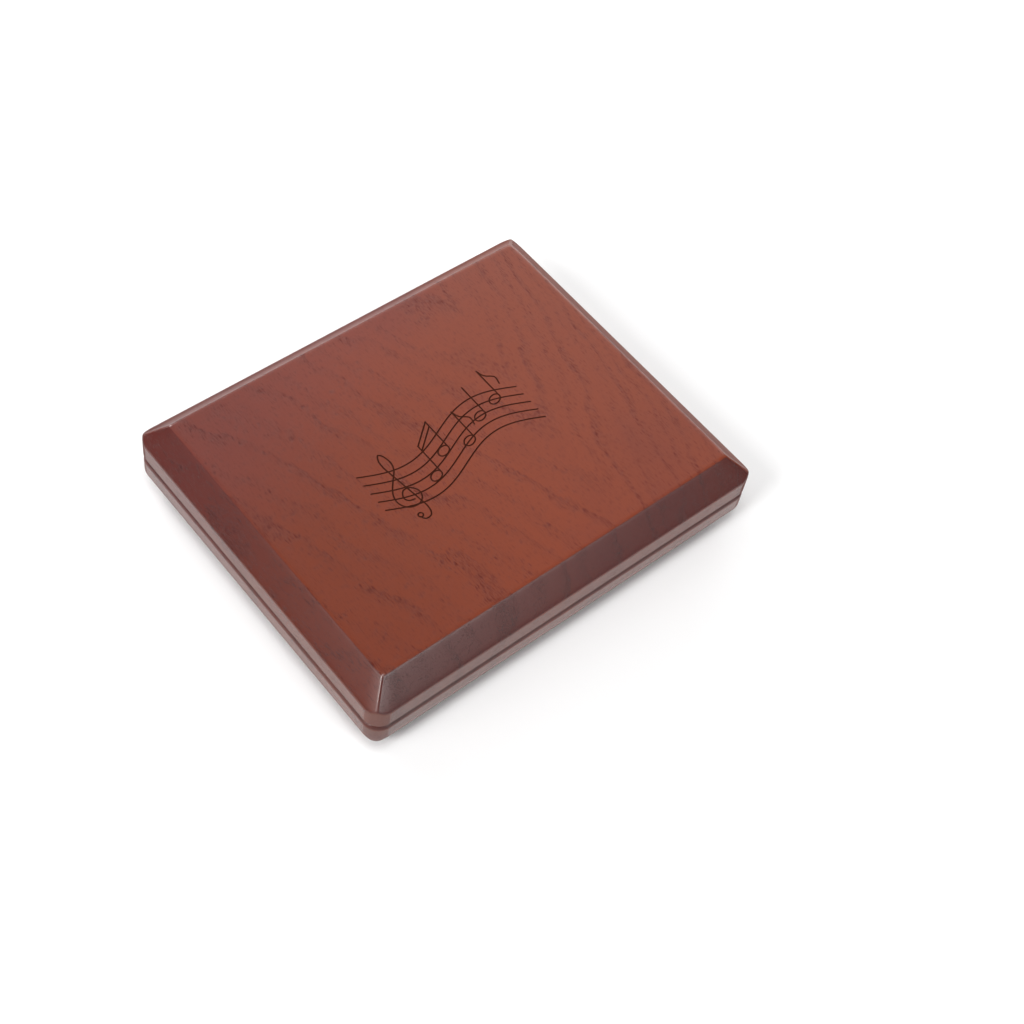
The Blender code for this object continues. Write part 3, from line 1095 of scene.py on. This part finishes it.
# Lacquer: its roughness and what adds to it, its clear coat and what thins or adds to that
satin_roughness = 0.25
groove_roughness = 0.20
low_roughness = 0.42
foot_roughness = 0.25
glancing_roughness = 0.42
coat_roughness = 0.18
coat = 0.50
rim_thinning = 0.9
groove_thinning = 0.5
hip_coat = 0.2
back_coat = 0.08
base_coat = 0.30
lacquer_ior = 1.52


def arched_rings(g, place):
    """Growth rings as arches that open to the back, steeper on the right of their heart."""
    x, y, z = g.split(place)
    wander = g.less(g.noise(g.stretch(place, wander_scale), detail=2), 0.5)
    ripple = g.less(g.noise(g.stretch(place, ripple_scale), detail=2), 0.5)
    offset = g.times_plus(wander, ring_wander, g.less(x, heart_x))
    across = g.times_plus(g.larger(offset, 0), right_squeeze - 1, offset)
    arch = g.calc("SQRT", g.times_plus(across, across, heart_round ** 2))
    run = g.times_plus(z, 0.5, g.less(arch, g.times(y, grain_lean)))
    run = g.less(g.times_plus(ripple, ring_ripple, run), ring_start)
    return g.calc("DIVIDE", run, ring_pitch)


def early_wood(g, turns):
    """Where a ring's coarse early wood lies: a sharp start that fades out."""
    phase = g.calc("FRACT", turns)
    return g.times(g.remap(phase, 0, 0.06), g.remap(phase, 0.08, 0.34, 1, 0))


def bare_wood(g, place):
    """Colour of the wood before its stains, and shares of pores and fibres."""
    turns = arched_rings(g, place)
    between = g.times(early_wood(g, g.plus(turns, 0.45)), 0.6)
    early = g.larger(early_wood(g, turns), between)
    pores = g.noise(g.stretch(place, pore_scale), detail=2, roughness=0.6)
    patchy = g.remap(g.noise(g.stretch(place, patch_scale), detail=2), 0.35, 0.60, 0.35, 1)
    crowd = g.times_plus(g.times(early, patchy), pore_crowding, pores)
    pore_share = g.remap(crowd, *pore_limits)
    fibres = g.noise(g.stretch(place, fibre_scale), detail=4, roughness=0.65)
    clouds = g.noise(g.stretch(place, cloud_scale), detail=3)
    tone = g.mix(g.times(early, 0.22), wood_light, wood_dark)
    tone = g.mix(g.remap(fibres, 0.40, 0.75, 0, 0.30), tone, wood_dark)
    tone = g.mix(g.remap(clouds, 0.48, 0.72, 0, 0.45), tone, wood_plum)
    return g.mix(g.times(pore_share, 0.72), tone, wood_pore), pore_share, fibres


def wood_faces(g):
    """How far a face is a near bevel, faces the front, is a hip, the back bevel or upright."""
    x, y, z = g.split(g.coordinates("Normal"))
    level = g.calc("ABSOLUTE", z)
    hip = g.remap(g.calc("ABSOLUTE", g.times(x, y)), 0.03, 0.12)
    bevel = g.times(g.remap(level, 0.98, 0.80), g.remap(level, 0.15, 0.5))
    near = g.times(bevel, g.remap(g.plus(x, y), -0.2, -0.6))
    back = g.times(bevel, g.remap(y, 0.40, 0.66))
    return near, g.remap(y, -0.15, -0.70), hip, back, g.remap(level, 0.50, 0.15)


def stained_wood():
    """Open-pored, red-brown stained wood under satin lacquer, with arched growth rings, painted shade
    on bevels, rims, the left end and the foot of the back bevel, and a painted sheen towards the back.
    """
    g = start_material("stained_wood_grain")
    place = g.millimetres()
    x, y, z = g.split(place)
    above = g.less(z, 1000 * half_height)
    down = g.less(1000 * half_height, above)
    near, front, hip, back, upright = wood_faces(g)
    low = g.times(back, g.remap(down, *low_bevel_span))
    foot = g.times(hip, g.remap(down, *hip_foot_span))
    groove = g.remap(g.calc("ABSOLUTE", above), *groove_span)
    tone, pore_share, fibres = bare_wood(g, place)
    # Painted shade: darker towards the left end, as if the light falls off there
    tone = g.shade(tone, left_painted_shade, g.remap(x, *left_span, 1, 0))
    # Painted sheen: paler and bluer towards the back, standing in for reflected light
    tone = g.shade(tone, back_painted_sheen, g.remap(g.times_plus(x, back_slant, y), *back_span))
    # Painted shade: bevels that face the front or the left are darkened
    tone = g.shade(tone, bevel_painted_shade, near)
    # Painted shade on the bevel that faces the front, with a little painted bluish reflection
    tone = g.shade(tone, front_painted_shade, g.times(g.larger(near, 0.3), front))
    # Painted shade: upright rims are darkened and made less blue
    tone = g.shade(tone, rim_painted_shade, upright)
    # Painted shade: the back bevel is darkened towards its foot
    g.set("Base Color", g.shade(tone, low_painted_shade, low))
    glancing = g.node("LayerWeight", {}).outputs["Facing"]
    rough = g.times_plus(groove, groove_roughness, satin_roughness)
    rough = g.times_plus(foot, foot_roughness, g.times_plus(low, low_roughness, rough))
    g.set("Roughness", g.plus(rough, g.remap(glancing, 0.66, 0.88, 0, glancing_roughness)))
    lacquer = g.times(g.remap(glancing, 0.50, 0.80, coat, 0), g.remap(pore_share, 0, 1, 1, 0))
    lacquer = g.times(lacquer, g.less(1, g.larger(near, g.times(upright, rim_thinning))))
    lacquer = g.times_plus(g.less(hip, foot), hip_coat, lacquer)
    lacquer = g.times_plus(g.less(back, low), back_coat, lacquer)
    lacquer = g.plus(lacquer, g.remap(above, *base_span, 0, base_coat))
    g.set("Coat Weight", g.times(lacquer, g.times_plus(groove, -groove_thinning, 1), clamp=True))
    g.set("Coat Roughness", coat_roughness)
    g.set("IOR", lacquer_ior)
    g.set("Normal", g.bump(g.less(g.times(fibres, 0.5), pore_share), 0.00005, 0.4))
    return g.owner


# Colours of the other materials
soot_light = (0.052, 0.0130, 0.0062, 1)
soot_dark = (0.030, 0.0085, 0.0045, 1)
board_light = (0.400, 0.195, 0.095, 1)
board_dark = (0.285, 0.122, 0.054, 1)
board_fibre = (0.205, 0.082, 0.036, 1)
board_fleck = (0.150, 0.058, 0.026, 1)
flock_deep = (0.010, 0.0095, 0.0095, 1)
flock_tip = (0.032, 0.030, 0.030, 1)
flock_worn = (0.020, 0.019, 0.019, 1)
ribbon_deep = (0.085, 0.006, 0.009, 1)
ribbon_thread = (0.185, 0.016, 0.022, 1)
ribbon_fuzz = (0.13, 0.012, 0.016, 1)
brass_colour = (0.640, 0.430, 0.170, 1)
nickel_colour = (0.620, 0.600, 0.570, 1)
floor_colour = (0.87, 0.87, 0.87, 1)

# Scales in cells for each millimetre, and pitches in millimetres
band_scale = (0.35, 0.012, 0.35)
board_fibre_scale = (5.5, 0.16, 5.5)
fleck_scale = (7.0, 0.9, 7.0)
thread_pitch = 0.32
weft_pitch = 0.8
metals = {
    "satin_brass": (brass_colour, 0.30, (0.6, 9, 9)),
    "polished_brass": (brass_colour, 0.20, (0.5, 12, 12)),
    "bright_brass": (brass_colour, 0.22, (8, 8, 8)),
    "nickel_plate": (nickel_colour, 0.20, (8, 8, 8)),
}


def burnt_groove():
    """Dark, matt, scorched wood at the bottom of the engraving."""
    g = start_material("burnt_groove")
    g.set("Base Color", g.mix(g.noise(g.millimetres(), scale=3), soot_light, soot_dark))
    g.set("Roughness", 0.85)
    g.set("Specular IOR Level", 0.04)
    return g.owner


def board_wood():
    """Pale, close-grained wood under oil."""
    g = start_material("board_wood_grain")
    place = g.millimetres()
    bands = g.noise(g.stretch(place, band_scale), detail=4, roughness=0.6)
    fibres = g.noise(g.stretch(place, board_fibre_scale), detail=3, roughness=0.6)
    flecks = g.noise(g.stretch(place, fleck_scale), detail=2)
    tone = g.mix(g.remap(bands, 0.35, 0.68), board_light, board_dark)
    tone = g.mix(g.remap(fibres, 0.45, 0.75, 0, 0.50), tone, board_fibre)
    g.set("Base Color", g.mix(g.remap(flecks, 0.62, 0.70, 0, 0.45), tone, board_fleck))
    g.set("Roughness", g.times_plus(fibres, 0.2, 0.42))
    g.set("Normal", g.bump(fibres, 0.00003, 0.5))
    return g.owner


def flock():
    """Short black flock that catches light at its edges."""
    g = start_material("black_flock")
    place = g.millimetres()
    pile = g.noise(place, scale=6, detail=4, roughness=0.7)
    nap = g.noise(place, scale=0.3, detail=2)
    tone = g.mix(pile, flock_deep, flock_tip)
    g.set("Base Color", g.mix(g.times(nap, 0.5), tone, flock_worn))
    g.set("Roughness", 1)
    g.set("Specular IOR Level", 0.1)
    g.set("Sheen Weight", 0.15)
    g.set("Sheen Roughness", 0.5)
    g.set("Normal", g.bump(pile, 0.00012, 0.8))
    return g.owner


def woven_ribbon():
    """Dark red woven ribbon: ribs across it and fine threads along it."""
    g = start_material("red_woven_ribbon")
    place = g.millimetres()
    x, y = g.split(place)[:2]
    thread = g.calc("SINE", g.times(y, 2 * math.pi / thread_pitch))
    shift = g.times(g.calc("SIGN", thread), weft_pitch / 4)
    weft = g.calc("SINE", g.times(g.plus(x, shift), 2 * math.pi / weft_pitch))
    weave = g.times_plus(g.times(thread, weft), 0.5, 0.5)
    fuzz = g.noise(place, scale=5)
    tone = g.mix(weave, ribbon_deep, ribbon_thread)
    g.set("Base Color", g.mix(g.times(fuzz, 0.4), tone, ribbon_fuzz))
    g.set("Roughness", 0.62)
    g.set("Specular IOR Level", 0.3)
    g.set("Sheen Weight", 0.12)
    g.set("Sheen Roughness", 0.4)
    g.set("Normal", g.bump(g.times_plus(fuzz, 0.3, weave), 0.00006, 0.8))
    return g.owner


def metal(name):
    """Metal with fine finishing lines and a little unevenness."""
    colour, roughness, lines_scale = metals[name]
    g = start_material(name)
    place = g.millimetres()
    lines = g.noise(g.stretch(place, lines_scale), detail=3, roughness=0.6)
    haze = g.noise(place, scale=0.8)
    darker = tuple(0.82 * part for part in colour[:3]) + (1,)
    g.set("Base Color", g.mix(g.remap(haze, 0.45, 0.75, 0, 0.6), colour, darker))
    g.set("Metallic", 1)
    g.set("Roughness", g.times_plus(lines, 0.08, g.times_plus(haze, 0.12, roughness - 0.06)))
    g.set("Normal", g.bump(lines, 0.00001, 0.25))
    return g.owner


# Stage, camera and light

floor_size = 6.0
floor_drop = 0.00005
picture_size = 1024
sensor_width = 36
focal_pixels = 1838.86
camera_azimuth = math.radians(-48.40)
camera_elevation = math.radians(54.61)
camera_roll = math.radians(10.99)
camera_distance = 0.46299
camera_right = 0.01611
camera_up = -0.01043
light_distance = 1.6
studio_dim = 0.06

# Bright patches of the studio's walls: azimuth and elevation in degrees, sharpness, strength
wall_glows = (
    (38, 21, 13, 2.4),
    (-78, 31, 30, 4.5),
    (171, 30, 45, 6.5),
    (-72, 39, 60, 2.8),
)

# Azimuth and elevation in degrees, width and height as shares of the distance, brightness
softboxes = {
    "softbox_above": (-135, 76, 0.42, 0.42, 8.4),
    "softbox_front": (-172, 44, 0.22, 0.22, 24.0),
    "softbox_behind": (98, 30, 0.62, 0.36, 6.5),
}


def build_stage():
    """Plain pale floor."""
    g = start_material("pale_floor")
    g.set("Base Color", floor_colour)
    g.set("Roughness", 0.9)
    g.set("Specular IOR Level", 0.1)
    shape = bmesh.new()
    bmesh.ops.create_grid(shape, x_segments=1, y_segments=1, size=floor_size / 2)
    bmesh.ops.translate(shape, verts=shape.verts, vec=(0, 0, -floor_drop))
    floor = link("floor", mesh_from(shape), g.owner)


def build_camera():
    """Camera at the photograph's place: above the front left corner, turned a little about its view."""
    a, e, r = camera_azimuth, camera_elevation, camera_roll
    back = Vector((math.sin(a) * math.cos(e), -math.cos(a) * math.cos(e), math.sin(e)))
    level = (-back).cross(Vector((0, 0, 1))).normalized()
    rise = level.cross(-back)
    right = level * math.cos(r) + rise * math.sin(r)
    up = rise * math.cos(r) - level * math.sin(r)
    place = Vector((0, 0, half_height)) + right * camera_right + up * camera_up + back * camera_distance
    data = bpy.data.cameras.new("camera")
    data.sensor_width = sensor_width
    data.lens = focal_pixels / picture_size * sensor_width
    data.clip_start = 0.01
    camera = bpy.data.objects.new("camera", data)
    turn = Matrix((right, up, back)).transposed().to_4x4()
    camera.matrix_world = Matrix.Translation(place) @ turn
    bpy.context.scene.collection.objects.link(camera)
    bpy.context.scene.camera = camera


def towards(azimuth, elevation):
    """Unit vector at an azimuth from +X and an elevation, both in degrees."""
    a, e = math.radians(azimuth), math.radians(elevation)
    return Vector((math.cos(a) * math.cos(e), math.sin(a) * math.cos(e), math.sin(e)))


def add_softbox(name, azimuth, elevation, width, height, brightness):
    """A large soft light that faces the case from far off."""
    data = bpy.data.lights.new(name, "AREA")
    data.shape = "RECTANGLE"
    data.size = width * light_distance
    data.size_y = height * light_distance
    data.energy = math.pi * data.size * data.size_y * brightness
    light = bpy.data.objects.new(name, data)
    way = towards(azimuth, elevation)
    light.location = way * light_distance
    light.rotation_euler = way.to_track_quat("Z", "Y").to_euler()
    bpy.context.scene.collection.objects.link(light)


def glow(g, direction, azimuth, elevation, sharpness, strength):
    """A soft bright patch of the studio's wall."""
    near = g.vector("DOT_PRODUCT", direction, towards(azimuth, elevation))["Value"]
    return g.times(g.calc("POWER", g.larger(near, 0), sharpness), strength)


def build_light():
    """Soft boxes above, in front and behind, in a dim studio with a few brighter walls."""
    world = bpy.data.worlds.new("studio")
    g = Graph(world, "Background")
    direction = g.coordinates("Generated")
    total = studio_dim
    for values in wall_glows:
        total = g.plus(total, glow(g, direction, *values))
    g.set("Color", (1, 1, 1, 1))
    g.set("Strength", total)
    bpy.context.scene.world = world
    for name, values in softboxes.items():
        add_softbox(name, *values)
    bpy.context.scene.view_settings.view_transform = "Standard"


def build_case():
    """Every piece of the case on its half."""
    wood = stained_wood()
    burnt = burnt_groove()
    inside_wood = board_wood()
    lining = flock()
    woven = woven_ribbon()
    clip_brass = metal("satin_brass")
    hinge_brass = metal("polished_brass")
    screw_brass = metal("bright_brass")
    nickel = metal("nickel_plate")
    for half in half_signs:
        build_shell(half, wood, burnt)
        build_lining(half, lining)
        build_board(half, inside_wood)
        build_ribbon(half, woven)
        for end in end_signs:
            build_clip(half, end, clip_brass)
            build_leaf(half, end, hinge_brass)
            build_magnet(half, end, nickel)
    for end in end_signs:
        build_pin(end, hinge_brass)
    build_screws(screw_brass)


build_case()
build_stage()
build_camera()
build_light()
